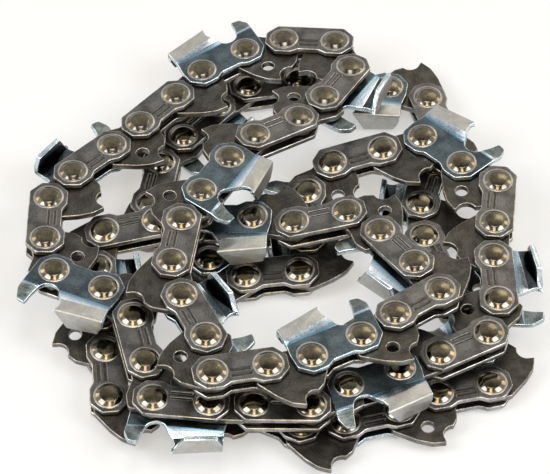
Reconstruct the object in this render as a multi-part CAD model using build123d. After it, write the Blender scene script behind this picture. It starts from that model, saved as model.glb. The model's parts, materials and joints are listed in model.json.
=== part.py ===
from build123d import *
import os
from math import asin, atan, cos, degrees, hypot, pi, radians, sin, sqrt, tan

# A loop of saw chain lying in a heap, in millimetres, resting on the plane Z = 0.
# Each link is drawn in its own frame: X runs forward from its rear rivet, +Y is the side of the
# cutters, -Y the side of the tangs, and Z runs across the chain along its rivets.

# Pitches, rivet to rivet along the chain
strap_pitch = 10.6
drive_pitch = 8.45

# Thicknesses across the chain
drive_thick = 1.3
plate_thick = 1.05
side_play = 0.28
head_height = 0.72
heap_gap = 0.5

# Rivets
hub_radius = 1.6
hub_play = 0.15
head_radius = 2.5
head_top_radius = 1.7
flat_sides = 8
hidden_sides = 6

# Side plates
end_gap = 0.25
waist_height = 2.9
waist_inset = 3.2

# Drive links
drive_end_radius = 3.3
shoulder_depth = 3.2
belly_lead = 0.0
belly_depth = 7.0
keel_lead = 2.2
keel_depth = 9.0
tang_lead = 4.3
tang_depth = 10.0
hook_radius = 1.9
hook_rise = 1.2
flank_inset = 0.9
heel_inset = 2.7
heel_rise = 1.6
oil_hole_radius = 1.1
oil_hole_lead = 3.4
oil_hole_depth = 5.4
bumper_height = 4.8
bumper_start = -0.6
bumper_length = 2.8
bumper_ramp = 3.2

# Cutters
cutter_rear = -3.3
cutter_front = 6.3
fold_height = 4.0
flare_rear = 1.0
flare_front = 2.3
flare_out = 0.7
side_height = 3.0
corner_cut = 0.4
top_reach = 1.9
top_angle = 30.0
scoop_depth = 0.6
gullet_lead = 3.1
gullet_radius = 2.3
gullet_drop = 0.6
gauge_step = 0.8
gauge_length = 3.6
gauge_tip_length = 1.5
gauge_height = 4.2
gauge_lean = 1.2
gauge_turn = 12.0

# Places of the links in the heap, in the order of travel: rear rivet X and Y in pitches of the
# chain, heading of the side plates in degrees, layer of the heap
level_rounds = 6
settle_rounds = 400
ease_rounds = 60
route = [
    (-0.241, 0.105, 176, 1.26), (-1.202, 0.152, 192, 1.00), (-1.816, -0.378, 274, 0.48),
    (-1.711, -1.344, 280, 0.17), (-1.207, -1.890, 3, 0.03), (-0.236, -2.005, 338, 0.0),
    (0.672, -2.194, 14, 0.0), (1.617, -1.864, 12, 0.0), (2.073, -1.302, 105, 0.0),
    (1.743, -0.378, 110, 0.0), (1.517, 0.630, 72, 0.0), (1.848, 1.591, 110, 0.0),
    (1.239, 2.252, 170, 0.0), (0.262, 2.373, 190, 0.0), (-0.630, 1.969, 230, 0.0),
    (-1.218, 1.165, 260, 0.0), (-1.092, 0.252, 316, 0.0), (-0.289, -0.388, 4, 0.0),
    (0.357, 0.115, 93, 0.14), (0.598, 1.018, 14, 0.68), (1.606, 1.286, 313, 1.14),
    (2.310, 0.640, 266, 1.08), (2.241, -0.357, 272, 1.03), (2.178, -1.307, 209, 1.03),
    (1.207, -1.795, 201, 1.03), (0.352, -2.231, 179, 1.03), (-0.656, -2.215, 174, 1.03),
    (-1.286, -1.748, 104, 1.20), (-1.718, -0.872, 161, 1.56), (-2.362, -0.268, 97, 1.58),
    (-2.168, 0.714, 37, 1.22), (-1.444, 1.449, 42, 1.03), (-0.814, 2.289, 28, 1.03),
    (0.157, 2.688, 356, 1.03), (0.930, 2.205, 230, 1.24), (0.294, 1.218, 186, 1.67),
    (-0.493, 0.682, 240, 2.14), (-1.024, -0.236, 266, 2.38), (-0.934, -1.171, 298, 2.27),
    (-0.619, -2.110, 12, 2.20), (0.362, -1.879, 28, 2.12), (1.207, -1.328, 37, 2.06),
    (1.407, -0.640, 128, 1.92), (0.772, 0.063, 188, 1.64),
]

# Sizes that follow from the ones above
pitch = strap_pitch + drive_pitch
plate_inner = drive_thick / 2 + side_play
plate_outer = plate_inner + plate_thick
half_width = plate_outer + head_height
layer_rise = 2 * half_width + heap_gap
plate_end_radius = (drive_pitch - end_gap) / 2
hole_radius = hub_radius + hub_play
half_turn = 180 / flat_sides
gullet_x = cutter_front + gullet_lead
gullet_y = fold_height - gullet_drop + gullet_radius
gauge_fold = fold_height + gauge_step
top_slope = (flare_front - flare_rear) / (cutter_front - cutter_rear)


def arc_corners(x, y, radius, start, end, count):
    angles = [radians(start + (end - start) * k / (count - 1)) for k in range(count)]
    return [(x + radius * cos(a), y + radius * sin(a)) for a in angles]


def flat_piece(corners, low, high):
    return extrude(Pos(0, 0, low) * Polygon(*corners), high - low)


def end_corners(x, radius, start, end):
    count = round((end - start) / (2 * half_turn)) + 1
    return arc_corners(x, 0, radius, start, end, count)


# Tie strap: two round ends, a straight back and a waist between its feet
def waist_corners():
    return [(waist_inset, -waist_height), (strap_pitch - waist_inset, -waist_height)]


def tie_strap(low, high):
    front = end_corners(strap_pitch, plate_end_radius, -90 - half_turn, 90 - half_turn)
    rear = end_corners(0, plate_end_radius, 90 + half_turn, 270 + half_turn)
    return flat_piece(front + rear + waist_corners(), low, high)


# Right-hand cutter: a chassis with a round gullet, a top that flares out and folds over, which
# slopes down to the rear, and a depth gauge that leans in
def gullet_angle(height):
    return degrees(asin((height - gullet_y) / gullet_radius))


def cutter_chassis():
    front = end_corners(strap_pitch, plate_end_radius, -90 - half_turn, -half_turn)
    start = gullet_angle(gauge_fold)
    end = -180 - gullet_angle(fold_height)
    gullet = arc_corners(gullet_x, gullet_y, gullet_radius, start, end, 5)
    gauge_front = (gullet[0][0] + gauge_length, gauge_fold)
    back = [(cutter_rear, fold_height)]
    rear = end_corners(0, plate_end_radius, 180 - half_turn, 270 + half_turn)
    corners = front + [gauge_front] + gullet + back + rear + waist_corners()
    return flat_piece(corners, plate_inner, plate_outer)


def depth_gauge():
    rear = gullet_x + gullet_radius * cos(radians(gullet_angle(gauge_fold)))
    corners = [
        (rear, 0),
        (rear + gauge_length, 0),
        (rear + gauge_length, gauge_height / 2),
        (rear + gauge_lean + gauge_tip_length, gauge_height - gauge_lean / 4),
        (rear + gauge_lean, gauge_height),
    ]
    fin = flat_piece(corners, -plate_thick, 0)
    return Pos(0, gauge_fold, plate_outer) * Rot(X=-gauge_turn) * fin


def top_section(x):
    flare = flare_rear + top_slope * (x - cutter_rear)
    out = flare_out * flare / flare_front
    bend = fold_height + flare
    top = bend + side_height
    outside = [
        (fold_height, plate_outer),
        (bend, plate_outer + out),
        (top - corner_cut, plate_outer + out),
        (top, plate_outer + out - corner_cut),
        (top, -top_reach),
    ]
    inside = [
        (top - plate_thick, -top_reach),
        (top - plate_thick, plate_inner + out),
        (bend, plate_inner + out),
        (fold_height, plate_inner),
    ]
    return [(x, y, z) for y, z in outside + inside]


def cutter_top():
    nose = gullet_x - gullet_radius * cos(radians(gullet_angle(fold_height)))
    rear = top_section(cutter_rear)
    front = top_section(nose)
    count = len(rear)
    walls = [rear, front]
    for k in range(count):
        n = (k + 1) % count
        walls.append([rear[k], rear[n], front[n], front[k]])
    bent = Solid(Shell([make_face(Polyline(*wall, close=True)) for wall in walls]))
    flare = fold_height + flare_front
    top = flare + side_height
    gullet = arc_corners(gullet_x, gullet_y, gullet_radius, -180 - gullet_angle(fold_height), -160, 3)
    scoop = [
        *gullet,
        (cutter_front, flare),
        (cutter_front - scoop_depth, flare + side_height / 2),
        (cutter_front, top),
        (cutter_front, 2 * top),
        (2 * nose, 2 * top),
        (2 * nose, fold_height),
    ]
    setback = (plate_outer + flare_out + top_reach) * tan(radians(top_angle))
    edge = [
        (cutter_front, plate_outer + flare_out),
        (cutter_front - setback, -top_reach),
        (2 * nose, -top_reach),
        (2 * nose, plate_outer + flare_out),
    ]
    lip_low = top - top_slope * setback - plate_thick
    lip = extrude(Plane.XZ.offset(-lip_low) * Polygon(*edge), -top)
    return bent - flat_piece(scoop, -half_width, 2 * half_width) - lip


# Rivets: a hub between the plates and a flattened head on each side
def rivet_heads(x):
    run = (head_radius - head_top_radius) * cos(pi / flat_sides)
    slope = degrees(atan(run / head_height))
    base = Pos(x, 0, plate_outer) * RegularPolygon(head_radius, flat_sides, rotation=half_turn)
    head = extrude(base, head_height, taper=slope)
    return head + mirror(head, Plane.XY)


def rivets():
    turning_hub = Cylinder(hub_radius, 2 * plate_outer)
    fixed_face = Pos(strap_pitch, 0, 0) * RegularPolygon(hub_radius, hidden_sides)
    fixed_hub = extrude(fixed_face, plate_outer, both=True)
    return rivet_heads(0) + rivet_heads(strap_pitch) + turning_hub + fixed_hub


# Side plates of one pitch, held together by the two rivets that are headed over into them
def tie_set():
    upper = tie_strap(plate_inner, plate_outer)
    lower = tie_strap(-plate_outer, -plate_inner)
    return upper + lower + rivets()


def right_cutter_set():
    lower = tie_strap(-plate_outer, -plate_inner)
    return cutter_chassis() + cutter_top() + depth_gauge() + lower + rivets()


# Drive link: two rivet holes and a hooked tang, with an oil hole and a hump beside a cutter
def drive_link(bumper):
    front = end_corners(drive_pitch, drive_end_radius, -half_turn, 90 - half_turn)
    rear = end_corners(0, drive_end_radius, 90 + half_turn, 180 + half_turn)
    belly = [
        (rear[-1][0], -shoulder_depth),
        (belly_lead, -belly_depth),
        (keel_lead, -keel_depth),
        (tang_lead, -tang_depth),
    ]
    hook = arc_corners(tang_lead + hook_radius, hook_rise - tang_depth, hook_radius, 170, 15, 5)
    heel_front = front[0][0] - heel_inset
    heel = [(heel_front, hook[-1][1] + heel_rise), (front[0][0] - flank_inset, -shoulder_depth)]
    back = []
    if bumper:
        back_height = drive_end_radius * cos(radians(half_turn))
        bumper_end = bumper_start + bumper_length
        back = [
            (bumper_end + bumper_ramp, back_height),
            (bumper_end, bumper_height),
            (bumper_start, bumper_height),
        ]
    corners = front + back + rear + belly + hook + heel
    link = flat_piece(corners, -drive_thick / 2, drive_thick / 2)
    hole = RegularPolygon(hole_radius, hidden_sides, major_radius=False)
    holes = [hole, Pos(drive_pitch, 0) * hole]
    if bumper:
        holes.append(Pos(oil_hole_lead, -oil_hole_depth) * RegularPolygon(oil_hole_radius, flat_sides))
    for hole in holes:
        link -= extrude(hole, drive_thick, both=True)
    return link


# The rivets in the heap: the chosen places, levelled smoothly and drawn to the true pitches
def spread_levels():
    share = strap_pitch / pitch
    levels = []
    for k in range(len(route)):
        here = route[k][3]
        after = route[(k + 1) % len(route)][3]
        levels += [here, here + (after - here) * share]
    count = len(levels)
    for _ in range(level_rounds):
        levels = [(levels[k - 1] + 2 * levels[k] + levels[(k + 1) % count]) / 4 for k in range(count)]
    return levels


def settled_rivets():
    heights = [half_width + layer_rise * max(level, 0) for level in spread_levels()]
    places = []
    for x, y, heading, _ in route:
        turn = radians(heading)
        places.append([x * pitch, y * pitch])
        places.append([x * pitch + strap_pitch * cos(turn), y * pitch + strap_pitch * sin(turn)])
    count = len(places)
    for _ in range(settle_rounds):
        for k in range(count):
            a = places[k]
            b = places[(k + 1) % count]
            length = drive_pitch if k % 2 else strap_pitch
            rise = heights[(k + 1) % count] - heights[k]
            gap = hypot(b[0] - a[0], b[1] - a[1])
            pull = (1 - sqrt(length**2 - rise**2) / gap) / 2
            step = [(b[0] - a[0]) * pull, (b[1] - a[1]) * pull]
            a[0] += step[0]
            a[1] += step[1]
            b[0] -= step[0]
            b[1] -= step[1]
    return [Vector(x, y, z) for (x, y), z in zip(places, heights)]


# Frames of the links, with the tilt of each one eased into its neighbours
def link_frames(rivet_points):
    count = len(rivet_points)
    ahead = [(rivet_points[(k + 1) % count] - rivet_points[k]).normalized() for k in range(count)]
    across = [Vector(0, 0, 1)] * count
    for _ in range(ease_rounds):
        mixed = [across[k] * 2 + across[k - 1] + across[(k + 1) % count] for k in range(count)]
        across = [(m - d * m.dot(d)).normalized() for m, d in zip(mixed, ahead)]
    return [Plane(p, x_dir=d, z_dir=n).location for p, d, n in zip(rivet_points, ahead, across)]


ties = tie_set().solid()
right_cutter = right_cutter_set().solid()
left_cutter = mirror(right_cutter, Plane.XY)
sides = [
    ("right_cutter_link", right_cutter),
    ("tie_link", ties),
    ("left_cutter_link", left_cutter),
    ("tie_link", ties),
]
drives = [drive_link(True).solid(), drive_link(False).solid()]
frames = link_frames(settled_rivets())
links = {}
for k in range(len(route)):
    name, plates = sides[k % len(sides)]
    links[f"{name}_{k + 1:02d}"] = [frames[2 * k] * plates, frames[2 * k + 1] * drives[k % len(drives)]]

# The origin is on the ground under the middle of the heap
box = Compound([piece for pieces in links.values() for piece in pieces]).bounding_box()
seat = Pos(-box.center().X, -box.center().Y, -box.min.Z)
print("seat", seat.position)
os.makedirs("parts", exist_ok=True)
for name, pieces in links.items():
    export_step(Compound([seat * piece for piece in pieces]), f"parts/{name}.step")
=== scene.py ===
import json
from math import cos, hypot, inf, radians, sin, sqrt, tan

import bmesh
import bpy
from mathutils import Matrix, Vector
from mathutils.geometry import tessellate_polygon


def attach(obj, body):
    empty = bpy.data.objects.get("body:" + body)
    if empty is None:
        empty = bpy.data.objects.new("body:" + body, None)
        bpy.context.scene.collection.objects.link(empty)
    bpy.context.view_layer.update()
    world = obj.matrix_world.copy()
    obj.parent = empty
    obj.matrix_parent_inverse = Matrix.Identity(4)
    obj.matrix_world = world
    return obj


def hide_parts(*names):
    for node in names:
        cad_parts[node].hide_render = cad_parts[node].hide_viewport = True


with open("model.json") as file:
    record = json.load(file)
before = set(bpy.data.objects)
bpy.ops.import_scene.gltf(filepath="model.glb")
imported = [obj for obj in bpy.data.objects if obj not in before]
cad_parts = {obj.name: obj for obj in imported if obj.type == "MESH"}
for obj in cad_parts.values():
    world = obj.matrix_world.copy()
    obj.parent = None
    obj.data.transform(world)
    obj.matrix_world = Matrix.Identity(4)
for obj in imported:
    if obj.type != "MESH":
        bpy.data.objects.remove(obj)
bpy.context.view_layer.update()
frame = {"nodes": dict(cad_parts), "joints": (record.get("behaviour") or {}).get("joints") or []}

scene = bpy.context.scene
mm = 0.001
print("frame loaded:", len(frame["nodes"]), "links")

# link sizes in millimetres
# x runs forward from the rear rivet, +y to the cutters, -y to the tangs, z along the rivets
chain = {
    "strapPitch": 10.6,
    "drivePitch": 8.45,
    "driveThick": 1.3,
    "plateThick": 1.05,
    "sidePlay": 0.28,
    "headHeight": 0.72,
    "heapGap": 0.5,
    "seatLink": 11,  # the link whose pivot tells where the heap lies
}
plateInner = chain["driveThick"] / 2 + chain["sidePlay"]
plateOuter = plateInner + chain["plateThick"]
halfWidth = plateOuter + chain["headHeight"]
layerRise = 2 * halfWidth + chain["heapGap"]
pitch = chain["strapPitch"] + chain["drivePitch"]

# places of the links in the heap: rear rivet x and y in pitches, heading of the side plates, layer
route = [
    (-0.241, 0.105, 176, 1.26), (-1.202, 0.152, 192, 1.0), (-1.816, -0.378, 274, 0.48),
    (-1.711, -1.344, 280, 0.17), (-1.207, -1.890, 3, 0.03), (-0.236, -2.005, 338, 0),
    (0.672, -2.194, 14, 0), (1.617, -1.864, 12, 0), (2.073, -1.302, 105, 0),
    (1.743, -0.378, 110, 0), (1.517, 0.630, 72, 0), (1.848, 1.591, 110, 0),
    (1.239, 2.252, 170, 0), (0.262, 2.373, 190, 0), (-0.630, 1.969, 230, 0),
    (-1.218, 1.165, 260, 0), (-1.092, 0.252, 316, 0), (-0.289, -0.388, 4, 0),
    (0.357, 0.115, 93, 0.14), (0.598, 1.018, 14, 0.68), (1.606, 1.286, 313, 1.14),
    (2.310, 0.640, 266, 1.08), (2.241, -0.357, 272, 1.03), (2.178, -1.307, 209, 1.03),
    (1.207, -1.795, 201, 1.03), (0.352, -2.231, 179, 1.03), (-0.656, -2.215, 174, 1.03),
    (-1.286, -1.748, 104, 1.2), (-1.718, -0.872, 161, 1.56), (-2.362, -0.268, 97, 1.58),
    (-2.168, 0.714, 37, 1.22), (-1.444, 1.449, 42, 1.03), (-0.814, 2.289, 28, 1.03),
    (0.157, 2.688, 356, 1.03), (0.930, 2.205, 230, 1.24), (0.294, 1.218, 186, 1.67),
    (-0.493, 0.682, 240, 2.14), (-1.024, -0.236, 266, 2.38), (-0.934, -1.171, 298, 2.27),
    (-0.619, -2.110, 12, 2.2), (0.362, -1.879, 28, 2.12), (1.207, -1.328, 37, 2.06),
    (1.407, -0.640, 128, 1.92), (0.772, 0.063, 188, 1.64),
]
settling = {"levelRounds": 6, "settleRounds": 400, "easeRounds": 60}


def spreadLevels():
    share = chain["strapPitch"] / pitch
    levels = []
    for k, place in enumerate(route):
        here, after = place[3], route[(k + 1) % len(route)][3]
        levels += [here, here + (after - here) * share]
    count = len(levels)
    for _ in range(settling["levelRounds"]):
        levels = [
            (levels[k - 1] + 2 * levels[k] + levels[(k + 1) % count]) / 4
            for k in range(count)
        ]
    return levels


def settledRivets():
    heights = [halfWidth + layerRise * max(level, 0) for level in spreadLevels()]
    places = []
    for x, y, heading, _ in route:
        turn = radians(heading)
        rearX, rearY = x * pitch, y * pitch
        frontX = rearX + chain["strapPitch"] * cos(turn)
        frontY = rearY + chain["strapPitch"] * sin(turn)
        places += [[rearX, rearY], [frontX, frontY]]
    count = len(places)
    for _ in range(settling["settleRounds"]):  # each spacing is pulled towards its true length
        for k in range(count):
            a, b = places[k], places[(k + 1) % count]
            length = chain["drivePitch"] if k % 2 else chain["strapPitch"]
            rise = heights[(k + 1) % count] - heights[k]
            gap = hypot(b[0] - a[0], b[1] - a[1])
            pull = (1 - sqrt(length**2 - rise**2) / gap) / 2
            stepX, stepY = (b[0] - a[0]) * pull, (b[1] - a[1]) * pull
            a[0] += stepX
            a[1] += stepY
            b[0] -= stepX
            b[1] -= stepY
    return [Vector((x, y, z)) for (x, y), z in zip(places, heights)]


def linkFrames(points):
    count = len(points)
    ahead = [(points[(k + 1) % count] - points[k]).normalized() for k in range(count)]
    across = [Vector((0, 0, 1))] * count
    for _ in range(settling["easeRounds"]):
        mixed = [across[k] * 2 + across[k - 1] + across[(k + 1) % count] for k in range(count)]
        across = [(m - d * m.dot(d)).normalized() for m, d in zip(mixed, ahead)]
    frames = []
    for p, d, n in zip(points, ahead, across):
        turned = Matrix((d, n.cross(d), n)).transposed().to_4x4()
        frames.append(Matrix.Translation(p) @ turned)
    return frames


rivetPoints = settledRivets()
pivotName = f"pivot_{chain['seatLink']:02d}"
pivot = next(j for j in frame["joints"] if j["name"] == pivotName)
seatRivet = rivetPoints[2 * (chain["seatLink"] - 1)]
seat = Vector(pivot["pos_m"]) / mm - seatRivet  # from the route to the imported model's own origin
frames = [Matrix.Translation(seat) @ f for f in linkFrames(rivetPoints)]
print("heap laid out, seat", [round(v, 3) for v in seat])


# outlines and meshes, a corner is x, y and how far it is rounded
outlines = {
    "cornerSteps": 4,
    "sharpest": 0.2,  # radians, a sharper corner is rounded as this one
    "edgeShare": 0.48,  # the most of an edge that one rounding takes
    "insetLimit": 0.5,  # keeps the inset of a sharp corner short
    "bevelMiddle": 0.3,  # where a softened edge bulges
    "endStep": 45,  # degrees between the corners of a plate's end
}


def circle(x, y, radius, count, start=0, sweep=360):
    last = count if sweep == 360 else count - 1
    angles = [radians(start + sweep * k / last) for k in range(count)]
    return [(x + radius * cos(a), y + radius * sin(a)) for a in angles]


def softOutline(corners, steps=outlines["cornerSteps"]):
    points = []
    for k, (x, y, radius) in enumerate(corners):
        if not radius:
            points.append((x, y))
            continue
        here = Vector((x, y))
        back = Vector(corners[k - 1][:2]) - here
        ahead = Vector(corners[(k + 1) % len(corners)][:2]) - here
        reach = radius / tan(max(back.angle(ahead), outlines["sharpest"]) / 2)
        first = here + back.normalized() * min(reach, back.length * outlines["edgeShare"])
        last = here + ahead.normalized() * min(reach, ahead.length * outlines["edgeShare"])
        for s in [n / steps for n in range(steps + 1)]:
            points.append(tuple(first * (1 - s) ** 2 + here * 2 * s * (1 - s) + last * s**2))
    return points


def inset(outline, distance):
    moved = []
    count = len(outline)
    for k, (x, y) in enumerate(outline):
        lastX, lastY = outline[k - 1]
        nextX, nextY = outline[(k + 1) % count]
        before = Vector((x - lastX, y - lastY)).normalized()
        after = Vector((nextX - x, nextY - y)).normalized()
        side = Vector((-before.y, before.x)) + Vector((-after.y, after.x))
        scale = distance / max(outlines["insetLimit"], side.length_squared / 2)
        moved.append((x + side.x * scale, y + side.y * scale))
    return moved


class Blank:  # points and faces of one piece, each face with its finish and its smoothness
    def __init__(self):
        self.points = []
        self.faces = []

    def ring(self, outline, z):
        start = len(self.points)
        self.points += [(x, y, z) for x, y in outline]
        return list(range(start, start + len(outline)))

    def band(self, low, high, finish, smooth=True):
        count = len(low)
        for k in range(count):
            n = (k + 1) % count
            self.faces.append(((low[k], low[n], high[n], high[k]), finish, smooth))

    def cap(self, rings, finish, up):
        flat = [[Vector(self.points[i]) for i in ring] for ring in rings]
        index = [i for ring in rings for i in ring]
        for tri in tessellate_polygon(flat):
            corners = tuple(index[i] for i in tri)
            a, b, c = (Vector(self.points[i]) for i in corners)
            if ((b - a).cross(c - a).z > 0) != up:
                corners = corners[::-1]
            self.faces.append((corners, finish, False))

    def slab(self, outline, low, high, soft, looks, holes=(), grooves=()):
        flatLook, edgeLook, sideLook = looks
        part = soft * outlines["bevelMiddle"]
        rows = [(soft, low), (part, low + part), (0, low + soft)]
        rows += [(0, high - soft), (part, high - part), (soft, high)]
        bottoms, tops = [], []
        for edge, sign in [(outline, 1)] + [(hole, -1) for hole in holes]:
            loops = [self.ring(inset(edge, sign * d), z) for d, z in rows]
            for k in range(len(loops) - 1):
                pair = (loops[k], loops[k + 1]) if sign > 0 else (loops[k + 1], loops[k])
                upright = rows[k][0] == rows[k + 1][0]
                self.band(*pair, sideLook if upright else edgeLook)
            bottoms.append(loops[0])
            tops.append(loops[-1])
        # each groove's walls get a painted highlight and its floor painted shade
        for groove, wall, depth in grooves:
            for z, inner, caps in [(high, -depth, tops), (low, depth, bottoms)]:
                mouth = self.ring(groove, z)
                floor = self.ring(inset(groove, wall), z + inner)
                self.band(*((floor, mouth) if inner < 0 else (mouth, floor)), "strapGroove")
                self.cap([floor], "strapFloor", inner < 0)
                caps.append(mouth)
        self.cap(bottoms, flatLook, False)
        self.cap(tops, flatLook, True)

    def lathe(self, x, profile, count, looks):
        rings = [self.ring(circle(x, 0, radius, count), z) for radius, z in profile]
        for low, high, look in zip(rings, rings[1:], looks):
            self.band(low, high, look, look != "rivetShank")
        self.cap([rings[0]], looks[0], False)
        self.cap([rings[-1]], looks[-1], True)

    def add(self, other, change=None):
        start = len(self.points)
        flip = change is not None and change.to_3x3().determinant() < 0
        self.points += [tuple(change @ Vector(p)) if change else p for p in other.points]
        for corners, finish, smooth in other.faces:
            moved = tuple(start + i for i in corners)
            self.faces.append((moved[::-1] if flip else moved, finish, smooth))
        return self


strap = {
    "endRadius": 4.1,
    "frontArc": (-112.5, 67.5),
    "rearArc": (112.5, 292.5),
    "cornerSoftness": 0.9,
    "waistHeight": 2.9,
    "waistInset": 3.2,
    "waistSoftness": 1.2,
    "edgeSoftness": 0.16,
    "grooveDepth": 0.20,
    "grooveHeight": 0.85,
    "grooveWall": 0.24,
    "grooveLines": (-2.0, -0.75),
    "grooveReach": 3.1,
    "grooveSoftness": 0.2,
    "grooveSteps": 2,
    "looks": ("strapSteel", "strapEdge", "strapSide"),
}


def endCorners(x, radius, start, end):
    count = round((end - start) / outlines["endStep"]) + 1
    soft = strap["cornerSoftness"]
    return [(px, py, soft) for px, py in circle(x, 0, radius, count, start, end - start)]


def waistCorners():
    height, inwards, soft = strap["waistHeight"], strap["waistInset"], strap["waistSoftness"]
    return [(inwards, -height, soft), (chain["strapPitch"] - inwards, -height, soft)]


def plateHoles():
    return rivetHoles(chain["strapPitch"], rivet["shankRadius"] + rivet["shankPlay"])


def tieStrap():
    piece = Blank()
    front = endCorners(chain["strapPitch"], strap["endRadius"], *strap["frontArc"])
    rear = endCorners(0, strap["endRadius"], *strap["rearArc"])
    left, right = strap["grooveReach"], chain["strapPitch"] - strap["grooveReach"]
    soft = strap["grooveSoftness"]
    grooves = []
    for line in strap["grooveLines"]:
        top = line + strap["grooveHeight"]
        groove = [(left, line, soft), (right, line, soft), (right, top, soft), (left, top, soft)]
        mouth = softOutline(groove, strap["grooveSteps"])
        grooves.append((mouth, strap["grooveWall"], strap["grooveDepth"]))
    piece.slab(
        softOutline(front + rear + waistCorners()), plateInner, plateOuter,
        strap["edgeSoftness"], strap["looks"], plateHoles(), grooves,
    )
    return piece


drive = {
    "endRadius": 3.3,
    "frontArc": (-22.5, 67.5),
    "rearArc": (112.5, 202.5),
    "edgeSoftness": 0.14,
    "rearEdge": [(-3.0, -3.2, 0.8), (0.0, -7.0, 4.0), (2.2, -9.0, 2.5), (4.75, -10.05, 0.25)],
    "notch": (6.9, -9.1, 2.05),  # centre and radius of the round cut in front of the tip
    "notchArc": (182, -117),  # start and sweep
    "notchSteps": 9,
    "frontEdge": [(9.25, -6.0, 1.2), (10.6, -3.2, 0.8)],
    "oilHole": (3.3, -5.3, 1.25),
    "bumper": [(5.4, 3.05, 1.2), (2.2, 4.8, 1.0), (-0.6, 4.8, 0.8)],
    "looks": ("driveSteel", "driveEdge", "driveSide"),
}


def roundCut(centre, steps, arc):
    return [(x, y, 0) for x, y in circle(*centre, steps, *arc)]


def driveLink(bumper):
    piece = Blank()
    front = endCorners(chain["drivePitch"], drive["endRadius"], *drive["frontArc"])
    rear = endCorners(0, drive["endRadius"], *drive["rearArc"])
    hump = drive["bumper"] if bumper else []
    notch = roundCut(drive["notch"], drive["notchSteps"], drive["notchArc"])
    corners = front + hump + rear + drive["rearEdge"] + notch + drive["frontEdge"]
    holes = rivetHoles(chain["drivePitch"], rivet["hubRadius"] + rivet["hubPlay"])
    if bumper:  # these links have the oil hole too
        holes.append(circle(*drive["oilHole"], rivet["holeSides"]))
    half = chain["driveThick"] / 2
    piece.slab(softOutline(corners), -half, half, drive["edgeSoftness"], drive["looks"], holes)
    return piece


rivet = {
    "hubRadius": 1.6,
    "hubPlay": 0.15,
    "hubGap": 0.01,  # between the hub's end and the plate
    "shankRadius": 1.3,
    "shankPlay": 0.02,
    "headRadius": 2.64,
    "crownRadius": 1.82,
    "tipRadius": 0.01,
    "collarRadius": 3.04,
    "collarRise": 0.10,
    "collarBevel": (0.04, 0.03),
    "collarPlay": 0.02,
    "dome": 0.15,
    "swell": 0.014,
    "swellLean": (0.6, 0.8),  # outwards and upwards
    "rimSteps": (0, 0.06, 0.25, 0.5, 0.75, 0.94),
    "crownSteps": (0.98, 0.92, 0.75, 0.5, 0.25, 0),
    "sides": 48,
    "holeSides": 24,
}


def rivetHoles(spacing, radius):
    return [circle(x, 0, radius, rivet["holeSides"]) for x in (0, spacing)]


def rivetBody(x):  # one closed piece: head, shank, hub, shank, head
    piece = Blank()
    tall, dome, rise = chain["headHeight"], rivet["dome"], rivet["collarRise"]
    wide, crown, collar = rivet["headRadius"], rivet["crownRadius"], rivet["collarRadius"]
    hub, shank = rivet["hubRadius"], rivet["shankRadius"]
    bevelOut, bevelUp = rivet["collarBevel"]
    leanOut, leanUp = rivet["swellLean"]
    edge = tall - dome
    head = [(collar, 0), (collar - bevelOut, bevelUp), (wide + rivet["collarPlay"], rise)]
    for s in rivet["rimSteps"]:
        swell = rivet["swell"] * sin(radians(180 * s))
        out = wide + (crown - wide) * s + swell * leanOut
        head.append((out, rise + (edge - rise) * s + swell * leanUp))
    for s in rivet["crownSteps"]:
        head.append((max(crown * s, rivet["tipRadius"]), tall - dome * s**2))
    hubEnd = plateInner - rivet["hubGap"]
    upper = [(hub, hubEnd), (shank, hubEnd), (shank, plateOuter)]
    upper += [(r, plateOuter + z) for r, z in head]
    lower = [(r, -z) for r, z in reversed(upper)]
    # the collar's pale finish is a painted highlight ring round each head
    looks = ["rivetShank"] * 3 + ["rivetCollar"] * 2
    looks += ["rivetRim"] * (len(rivet["rimSteps"]) + 1)
    looks += ["rivetCrown"] * (len(rivet["crownSteps"]) - 1)
    piece.lathe(x, lower + upper, rivet["sides"], looks[::-1] + ["rivetShank"] + looks)
    return piece


cutter = {
    "rear": -3.3,
    "front": 6.3,
    "frontArc": (-112.5, -22.5),
    "rearArc": (157.5, 292.5),
    "fold": 4.0,
    "foldSoftness": 0.4,
    "flareRear": 5.05,  # where the flare ends, at the rear and the front, so the top slopes back
    "flareFront": 6.4,
    "sidePanel": 3.0,
    "topPlate": 4.3,
    "topAngle": 30,
    "topSoftness": (0.4, 0.5, 0.5),  # at the nose, and above and below the cut rear corner
    "rearCut": (1.0, 2.4),
    "scoop": 0.6,
    "scoopSoftness": (0.6, 1.6, 0.15),
    "flareTurn": 17,
    "panelTurn": 0,
    "topTurn": -90,
    "bendLength": 0.6,
    "bendSteps": 40,
    "bendCuts": 7,
    "cutWeld": 1e-5,  # a cut this near to a corner goes through it
    "gullet": (9.4, 5.7, 2.3),
    "gulletArc": (-12, -150),
    "gulletSteps": 12,
    "gaugeEdge": [
        (15.1, 4.6, 0.8), (15.4, 6.6, 1.6), (14.5, 8.7, 1.0), (12.75, 9.0, 0.25), (12.3, 7.0, 2.2),
    ],
    "gaugeFold": 4.8,
    "gaugeTurn": -12,
    "edgeSoftness": 0.14,
    # the cutter's bevels and side walls take a painted highlight finish
    "looks": ("cutterBody", "cutterEdge", "cutterEdge"),
    "zones": ("cutterFlare", "cutterGauge", "cutterInner", "cutterPanel", "cutterTop"),
}


def flareLine(x):
    share = (x - cutter["rear"]) / (cutter["front"] - cutter["rear"])
    return cutter["flareRear"] + (cutter["flareFront"] - cutter["flareRear"]) * share


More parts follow.
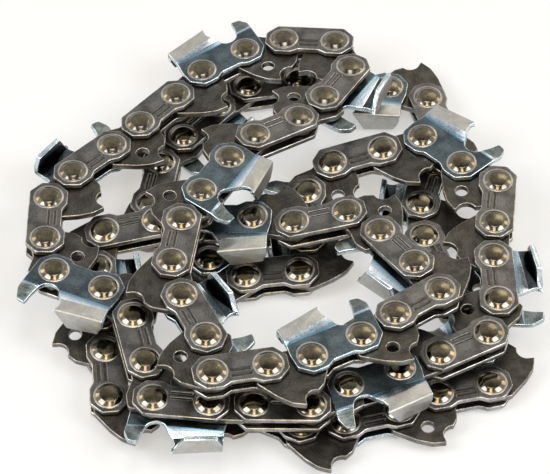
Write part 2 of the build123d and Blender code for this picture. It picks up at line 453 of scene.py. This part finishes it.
def bentPoint(x, run, lift):
    half = cutter["bendLength"] / 2
    line = flareLine(x)
    bends = [(cutter["fold"], cutter["flareTurn"]), (line, cutter["panelTurn"])]
    bends += [(line + cutter["sidePanel"], cutter["topTurn"])]
    if x > cutter["gullet"][0]:
        bends = [(cutter["gaugeFold"], cutter["gaugeTurn"])]

    def headingAt(s):
        angle = 0.0
        for place, turn in bends:
            angle += (turn - angle) * min(1, max(0, (s - place + half) / (2 * half)))
        return radians(angle)

    start = bends[0][0] - half
    if run <= start:
        return (x, run, plateOuter + lift)
    y, z = start, plateOuter
    size = (run - start) / cutter["bendSteps"]
    for k in range(cutter["bendSteps"]):
        angle = headingAt(start + (k + 0.5) * size)
        y += cos(angle) * size
        z += sin(angle) * size
    angle = headingAt(run)
    return (x, y - sin(angle) * lift, z + cos(angle) * lift)


def rightCutter():
    front = endCorners(chain["strapPitch"], strap["endRadius"], *cutter["frontArc"])
    gullet = roundCut(cutter["gullet"], cutter["gulletSteps"], cutter["gulletArc"])
    noseX, rearX, panel = cutter["front"], cutter["rear"], cutter["sidePanel"]
    bend = flareLine(noseX)
    tip = bend + panel
    low, middle, high = cutter["scoopSoftness"]
    scoop = [(noseX, bend, low), (noseX - cutter["scoop"], bend + panel / 2, middle)]
    scoop += [(noseX, tip, high)]
    setBack = cutter["topPlate"] * tan(radians(cutter["topAngle"]))
    rearTop = flareLine(rearX) + panel + cutter["topPlate"]
    nose, above, below = cutter["topSoftness"]
    cutX, cutY = cutter["rearCut"]
    top = [(noseX - setBack, tip + cutter["topPlate"], nose)]
    top += [(rearX + cutX, rearTop, above), (rearX, rearTop - cutY, below)]
    rear = [(rearX, cutter["fold"], cutter["foldSoftness"])]
    rear += endCorners(0, strap["endRadius"], *cutter["rearArc"])
    corners = front + cutter["gaugeEdge"] + gullet + scoop + top + rear + waistCorners()
    flat = Blank()
    flat.slab(
        softOutline(corners), -chain["plateThick"], 0,
        cutter["edgeSoftness"], cutter["looks"], plateHoles(),
    )
    return bentCutter(flat)


def cutterZone(middle):  # the finish of a face by where it lies before the bending
    half, panel = cutter["bendLength"] / 2, cutter["sidePanel"]
    if middle.x > cutter["gullet"][0]:
        start = cutter["gaugeFold"] - half
        zones = [("cutterFlare", cutter["gaugeFold"] + half), ("cutterGauge", inf)]
    else:
        start, line = cutter["fold"], flareLine(middle.x)
        zones = [("cutterFlare", line), ("cutterPanel", line + panel), ("cutterTop", inf)]
    if middle.y <= start:
        return "cutterBody"
    zone = next(name for name, end in zones if middle.y < end)
    # the inner faces of the side panel and top plate take a painted shade finish
    inner = middle.z < -chain["plateThick"] / 2 and zone in ("cutterPanel", "cutterTop")
    return "cutterInner" if inner else zone


def bentCutter(flat):
    mesh = bmesh.new()
    names = sorted({*cutter["looks"], *cutter["zones"]})
    points = [mesh.verts.new(p) for p in flat.points]
    for corners, finish, smooth in flat.faces:
        if len(set(corners)) == len(corners):
            face = mesh.faces.new([points[i] for i in corners])
            face.material_index = names.index(finish)
            face.smooth = smooth
    half, last = cutter["bendLength"] / 2, cutter["bendCuts"] - 1
    slope = (cutter["flareFront"] - cutter["flareRear"]) / (cutter["front"] - cutter["rear"])
    lines = [(cutter["fold"], 0.0), (cutter["gaugeFold"], 0.0)]
    lines += [(flareLine(0), slope), (flareLine(0) + cutter["sidePanel"], slope)]
    for place, lean in lines:  # the plate is cut across each bend, so that it bends round
        for k in range(cutter["bendCuts"]):
            every = mesh.verts[:] + mesh.edges[:] + mesh.faces[:]
            at, facing = (0, place + half * (2 * k / last - 1), 0), (-lean, 1, 0)
            weld = cutter["cutWeld"]
            bmesh.ops.bisect_plane(mesh, geom=every, plane_co=at, plane_no=facing, dist=weld)
    for face in mesh.faces:
        if names[face.material_index] == "cutterBody":
            zone = cutterZone(face.calc_center_median())
            face.material_index = names.index(zone)
            face.smooth = face.smooth or zone != "cutterBody"
    piece = Blank()
    mesh.verts.index_update()
    piece.points = [bentPoint(*v.co) for v in mesh.verts]
    for face in mesh.faces:
        corners = tuple(v.index for v in face.verts)
        piece.faces.append((corners, names[face.material_index], face.smooth))
    mesh.free()
    return piece


upStrap = tieStrap()
downSide = Matrix.Diagonal((1, 1, -1, 1))
rivets = Blank().add(rivetBody(0)).add(rivetBody(chain["strapPitch"]))
tieSet = Blank().add(upStrap).add(upStrap, downSide).add(rivets)
rightSet = Blank().add(rightCutter()).add(upStrap, downSide).add(rivets)
leftSet = Blank().add(rightSet, downSide)
sideSets = [rightSet, tieSet, leftSet, tieSet]
driveLinks = [driveLink(True), driveLink(False)]
print("link shapes made:", [len(s.faces) for s in sideSets], [len(d.faces) for d in driveLinks])


# finishes
class Wire:  # a node's output that can be used in sums
    def __init__(self, socket):
        self.socket = socket

    def maths(self, operation, first, second):
        finish = Finish.of(self.socket.id_data)
        return finish.node("ShaderNodeMath", {"operation": operation}, {0: first, 1: second})

    def __add__(self, other):
        return self.maths("ADD", self, other)

    def __radd__(self, other):
        return self.maths("ADD", other, self)

    def __sub__(self, other):
        return self.maths("SUBTRACT", self, other)

    def __rsub__(self, other):
        return self.maths("SUBTRACT", other, self)

    def __mul__(self, other):
        return self.maths("MULTIPLY", self, other)

    def __rmul__(self, other):
        return self.maths("MULTIPLY", other, self)


class Finish:  # one material's nodes
    def __init__(self, name):
        self.material = bpy.data.materials.new(name)
        self.material.use_nodes = True
        self.tree = self.material.node_tree
        self.tree.nodes.clear()

    @classmethod
    def of(cls, tree):
        finish = cls.__new__(cls)
        finish.tree = tree
        return finish

    def node(self, kind, settings=None, inputs=None, output=0):
        made = self.tree.nodes.new(kind)
        for key, value in (settings or {}).items():
            setattr(made, key, value)
        for key, value in (inputs or {}).items():
            if isinstance(value, Wire):
                self.tree.links.new(value.socket, made.inputs[key])
            else:
                made.inputs[key].default_value = value
        return Wire(made.outputs[output]) if made.outputs else None

    def mix(self, share, first, second):
        inputs = {0: share}
        for key, colour in ((6, first), (7, second)):  # the sockets for colours, as is output 2
            inputs[key] = colour if isinstance(colour, Wire) else (*colour, 1)
        return self.node("ShaderNodeMix", {"data_type": "RGBA", "blend_type": "MIX"}, inputs, 2)

    def noise(self, place, size, detail, rough):
        inputs = {"Vector": place, "Scale": 1 / (size * mm), "Detail": detail, "Roughness": rough}
        return self.node("ShaderNodeTexNoise", None, inputs)

    def stretched(self, place, scale):
        return self.node("ShaderNodeVectorMath", {"operation": "MULTIPLY"}, {0: place, 1: scale})

    def band(self, value, low, high):
        settings = {"interpolation_type": "SMOOTHSTEP"}
        return self.node("ShaderNodeMapRange", settings, {0: value, 1: low, 2: high})

    def place(self, kind):
        return self.node("ShaderNodeTexCoord", output=kind)

    def along(self, place, axis):
        return self.node("ShaderNodeSeparateXYZ", None, {"Vector": place}, axis)

    def direct(self):  # 1 for what the camera sees, also in metal or through glass
        path = self.node("ShaderNodeLightPath").socket.node
        rays = ("Is Camera Ray", "Is Glossy Ray", "Is Transmission Ray")
        seen, mirrored, through = (Wire(path.outputs[ray]) for ray in rays)
        inputs = {0: seen + mirrored + through, 1: 1.0}
        return self.node("ShaderNodeMath", {"operation": "MINIMUM"}, inputs)

    def bump(self, height, depth):
        return self.node("ShaderNodeBump", None, {"Distance": depth * mm, "Height": height})

    def close(self, inputs):
        shader = self.node("ShaderNodeBsdfPrincipled", None, inputs)
        self.node("ShaderNodeOutputMaterial", None, {"Surface": shader})
        return self.material


# each finish: colour where it is worn least and most, roughness, depth of its grain in millimetres;
# some finishes carry painted light, as noted at each
steels = {
    "strapSteel": {
        "dark": (0.071, 0.068, 0.064), "pale": (0.173, 0.167, 0.159), "rough": 0.35, "grain": 0.012,
    },
    "driveSteel": {
        "dark": (0.04, 0.037, 0.032), "pale": (0.104, 0.097, 0.085), "rough": 0.38, "grain": 0.014,
    },
    # painted highlight: the strap's bevels are much paler than its flats, a bright line along each
    # edge
    "strapEdge": {
        "dark": (0.22, 0.21, 0.19), "pale": (0.64, 0.62, 0.59), "rough": 0.28, "grain": 0.006,
    },
    # painted highlight: the groove walls are pale, two bright lines along each groove
    "strapGroove": {
        "dark": (0.26, 0.255, 0.24), "pale": (0.66, 0.645, 0.61), "rough": 0.50, "grain": 0.006,
    },
    # painted shade: the groove floors are darker than the flats, shade down in the grooves
    "strapFloor": {
        "dark": (0.026, 0.024, 0.022), "pale": (0.092, 0.088, 0.081), "rough": 0.40, "grain": 0.012,
    },
    # painted reflection: the strap's side walls are paler than its flats, standing in for glints on
    # the walls
    "strapSide": {
        "dark": (0.194, 0.19, 0.188), "pale": (0.454, 0.445, 0.437), "rough": 0.34, "grain": 0.012,
    },
    # painted highlight: the drive link's bevels are paler than its flats, a bright line along each
    # edge
    "driveEdge": {
        "dark": (0.16, 0.15, 0.13), "pale": (0.52, 0.49, 0.44), "rough": 0.30, "grain": 0.006,
    },
    # painted reflection: the drive link's side walls are paler than its flats, standing in for
    # glints on the walls
    "driveSide": {
        "dark": (0.108, 0.103, 0.095), "pale": (0.292, 0.281, 0.259), "rough": 0.36, "grain": 0.012,
    },
    "rivetShank": {
        "dark": (0.10, 0.095, 0.085), "pale": (0.24, 0.23, 0.21), "rough": 0.34, "grain": 0.004,
    },
    # painted highlight: the collar round each head is pale, a bright halo where the head meets the
    # plate
    "rivetCollar": {
        "dark": (0.25, 0.235, 0.205), "pale": (0.48, 0.455, 0.41), "rough": 0.30, "grain": 0.004,
    },
    "rivetCrown": {
        "dark": (0.065, 0.054, 0.037), "pale": (0.163, 0.141, 0.092), "rough": 0.17, "grain": 0.003,
    },
    "rivetRim": {
        "dark": (0.108, 0.095, 0.076), "pale": (0.247, 0.221, 0.178), "rough": 0.13, "grain": 0.002,
    },
    "cutterBody": {
        "dark": (0.046, 0.061, 0.069), "pale": (0.120, 0.153, 0.166), "rough": 0.32, "grain": 0.010,
    },
    # painted highlight: the flare along the bend, and along the gauge's fold, is near white;
    # painted shade darkens it towards the fold
    "cutterFlare": {
        "dark": (0.583, 0.632, 0.67), "pale": (0.864, 0.902, 0.929), "rough": 0.28, "grain": 0.008,
        "fold": (0.13, 0.25, 0.34),  # painted shade: darker and bluer where the flare leaves the flat
    },
    "cutterPanel": {
        "dark": (0.34, 0.335, 0.312), "pale": (0.47, 0.465, 0.438), "rough": 0.42, "grain": 0.016,
    },
    "cutterTop": {
        "dark": (0.40, 0.40, 0.378), "pale": (0.55, 0.55, 0.522), "rough": 0.44, "grain": 0.012,
    },
    "cutterGauge": {
        "dark": (0.075, 0.090, 0.088), "pale": (0.26, 0.30, 0.29), "rough": 0.38, "grain": 0.016,
    },
    # painted shade: the inner faces of the side panel and top plate are darker than the body steel,
    # shade under the top plate
    "cutterInner": {
        "dark": (0.018, 0.024, 0.027), "pale": (0.070, 0.088, 0.096), "rough": 0.34, "grain": 0.010,
    },
    # painted highlight: the cutter's bevels and side walls are pale blue-white, bright lines along
    # its edges
    "cutterEdge": {
        "dark": (0.31, 0.39, 0.44), "pale": (0.72, 0.79, 0.83), "rough": 0.26, "grain": 0.006,
    },
}
# random wear tones, and the band of painted shade at the flare's fold
wearAndFoldShade = {
    "cloud": (2.6, 5, 0.55),  # size in millimetres, detail, roughness
    "speckle": (0.32, 4, 0.65),
    "grain": (0.5, 5, 0.7),
    "grainStretch": (0.25, 3.0, 1.0),
    "colourShares": (0.5, 0.35, 0.35),  # of cloud, speckle and grain
    "colourRange": (0.46, 0.76),
    "roughShares": (0.16, 0.10),  # of speckle and cloud
    "bumpShares": (0.6, 0.4),  # of speckle and grain
    # painted shade: where the flare darkens towards its fold, across the plate
    "foldShadeRange": (3.9 * mm, 6.2 * mm),
    "noiseMiddle": 0.5,
}


def steelFinish(name, look):
    f = Finish(name)
    place = f.place("Object")
    cloud = f.noise(place, *wearAndFoldShade["cloud"])
    speckle = f.noise(place, *wearAndFoldShade["speckle"])
    grain = f.noise(f.stretched(place, wearAndFoldShade["grainStretch"]), *wearAndFoldShade["grain"])
    a, b, c = wearAndFoldShade["colourShares"]
    share = f.band(cloud * a + speckle * b + grain * c, *wearAndFoldShade["colourRange"])
    colour = f.mix(share, look["dark"], look["pale"])
    # painted shade: the flare darkens towards its fold
    if "fold" in look:
        colour = f.mix(f.band(f.along(place, "Y"), *wearAndFoldShade["foldShadeRange"]), look["fold"], colour)
    a, b = wearAndFoldShade["roughShares"]
    middle = wearAndFoldShade["noiseMiddle"]
    rough = look["rough"] + a * (speckle - middle) + b * (cloud - middle)
    a, b = wearAndFoldShade["bumpShares"]
    normal = f.bump(speckle * a + grain * b, look["grain"])
    inputs = {"Base Color": colour, "Roughness": rough, "Metallic": 1.0, "Normal": normal}
    return f.close(inputs)


finishes = {name: steelFinish(name, look) for name, look in steels.items()}
print("finishes made:", len(finishes))


def linkObject(name, index):
    rear, front = frames[2 * index], frames[2 * index + 1]
    piece = Blank().add(sideSets[index % len(sideSets)])
    piece.add(driveLinks[index % len(driveLinks)], rear.inverted() @ front)
    points = [tuple(v * mm for v in p) for p in piece.points]
    corners, looks, smooth = (list(part) for part in zip(*piece.faces))
    mesh = bpy.data.meshes.new(name)
    mesh.from_pydata(points, [], corners)
    used = sorted(set(looks))
    for look in used:
        mesh.materials.append(finishes[look])
    mesh.polygons.foreach_set("material_index", [used.index(look) for look in looks])
    mesh.polygons.foreach_set("use_smooth", smooth)
    mesh.validate()
    link = bpy.data.objects.new(name, mesh)
    scene.collection.objects.link(link)
    place = rear.copy()
    place.translation = place.translation * mm
    link.matrix_world = place
    return link


kinds = ["right_cutter_link", "tie_link", "left_cutter_link", "tie_link"]
for index in range(len(route)):
    node = f"{kinds[index % len(kinds)]}_{index + 1:02d}"
    link = linkObject(f"{node}_detail", index)
    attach(link, node)
    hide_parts(node)
print("links placed:", len(route))

# studio, in metres
studio = {
    "floorColour": (0.84, 0.865, 0.92),
    "floorGlow": 0.45,
    "floorReach": 6.0,
    "floorDrop": 0.0002,
    "worldColour": (1.0, 1.0, 1.0),
    "worldStrength": 0.15,
    "ceilingStrength": 0.22,  # a darker ceiling round a soft light overhead
    "ceilingHeights": (0.79, 0.93),
    "softboxHeights": (0.95, 0.985),
    "lampAim": (0.0, 0.0, 0.01),
    "cameraLift": 51,
    "cameraAway": 0.560,
    "cameraNear": 0.01,
    "lens": 185.9,
    "sensor": 36,
    "lookAt": (0.0, 0.0, 8.0),  # in the route's own millimetres
}


def addFloor():
    mesh = bpy.data.meshes.new("floor")
    size = studio["floorReach"]
    corners = [(-size, -size, 0), (size, -size, 0), (size, size, 0), (-size, size, 0)]
    mesh.from_pydata(corners, [], [(0, 1, 2, 3)])
    floor = bpy.data.objects.new("floor", mesh)
    scene.collection.objects.link(floor)
    floor.location.z = -studio["floorDrop"]
    f = Finish("floorPaper")
    base = f.node("ShaderNodeBsdfDiffuse", None, {"Color": (*studio["floorColour"], 1)})
    glow = f.node("ShaderNodeEmission", None, {"Color": (1, 1, 1, 1), "Strength": 1.0})
    share = f.direct() * studio["floorGlow"]
    surface = f.node("ShaderNodeMixShader", None, {0: share, 1: base, 2: glow})
    f.node("ShaderNodeOutputMaterial", None, {"Surface": surface})
    mesh.materials.append(f.material)


def addWorld():
    world = bpy.data.worlds.new("studioSky")
    scene.world = world
    world.use_nodes = True
    world.node_tree.nodes.clear()
    f = Finish.of(world.node_tree)
    height = f.along(f.place("Generated"), "Z")
    softbox = f.band(height, *studio["softboxHeights"])
    ceiling = f.band(height, *studio["ceilingHeights"]) * (1 - softbox)
    dimming = ceiling * (1 - studio["ceilingStrength"])
    plain = studio["worldStrength"]
    strength = plain + f.direct() * (1 - plain - dimming)
    inputs = {"Color": (*studio["worldColour"], 1), "Strength": strength}
    f.node("ShaderNodeOutputWorld", None, {"Surface": f.node("ShaderNodeBackground", None, inputs)})


lamps = [  # name, place, width, depth, watts, colour
    ("backWarm", (0.16, 0.42, 0.43), 0.16, 0.12, 0.22, (1, 0.90, 0.66)),
    ("overhead", (0.0, 0.02, 0.70), 0.20, 0.20, 0.55, (1, 1, 1)),
    ("frontLeft", (-0.43, -0.185, 0.51), 0.30, 0.40, 2.4, (1, 1, 1)),
    ("frontMiddle", (0.0, -0.36, 0.60), 0.13, 0.42, 1.15, (1, 0.74, 0.32)),
    ("frontRight", (0.43, -0.185, 0.51), 0.30, 0.40, 2.4, (1, 1, 1)),
    ("sideLeft", (-0.575, 0.286, 0.276), 0.18, 0.34, 0.75, (1, 0.76, 0.38)),
    ("sideRight", (0.575, 0.286, 0.276), 0.18, 0.34, 0.75, (1, 0.76, 0.38)),
]


def aimed(thing, place, target):
    scene.collection.objects.link(thing)
    thing.location = place
    thing.rotation_euler = (Vector(target) - Vector(place)).to_track_quat("-Z", "Y").to_euler()
    return thing


def addLamps():
    for name, place, wide, deep, watts, colour in lamps:
        data = bpy.data.lights.new(name, "AREA")
        data.shape = "RECTANGLE"
        data.size = wide
        data.size_y = deep
        data.energy = watts
        data.color = colour
        aimed(bpy.data.objects.new(name, data), place, studio["lampAim"])


def addCamera():
    target = (Vector(studio["lookAt"]) + seat) * mm
    lift = radians(studio["cameraLift"])
    data = bpy.data.cameras.new("camera")
    data.lens = studio["lens"]
    data.sensor_width = studio["sensor"]
    data.clip_start = studio["cameraNear"]
    place = target + Vector((0, -cos(lift), sin(lift))) * studio["cameraAway"]
    scene.camera = aimed(bpy.data.objects.new("camera", data), place, target)


addFloor()
addWorld()
addLamps()
addCamera()
scene.view_settings.view_transform = "Standard"
print("studio set")
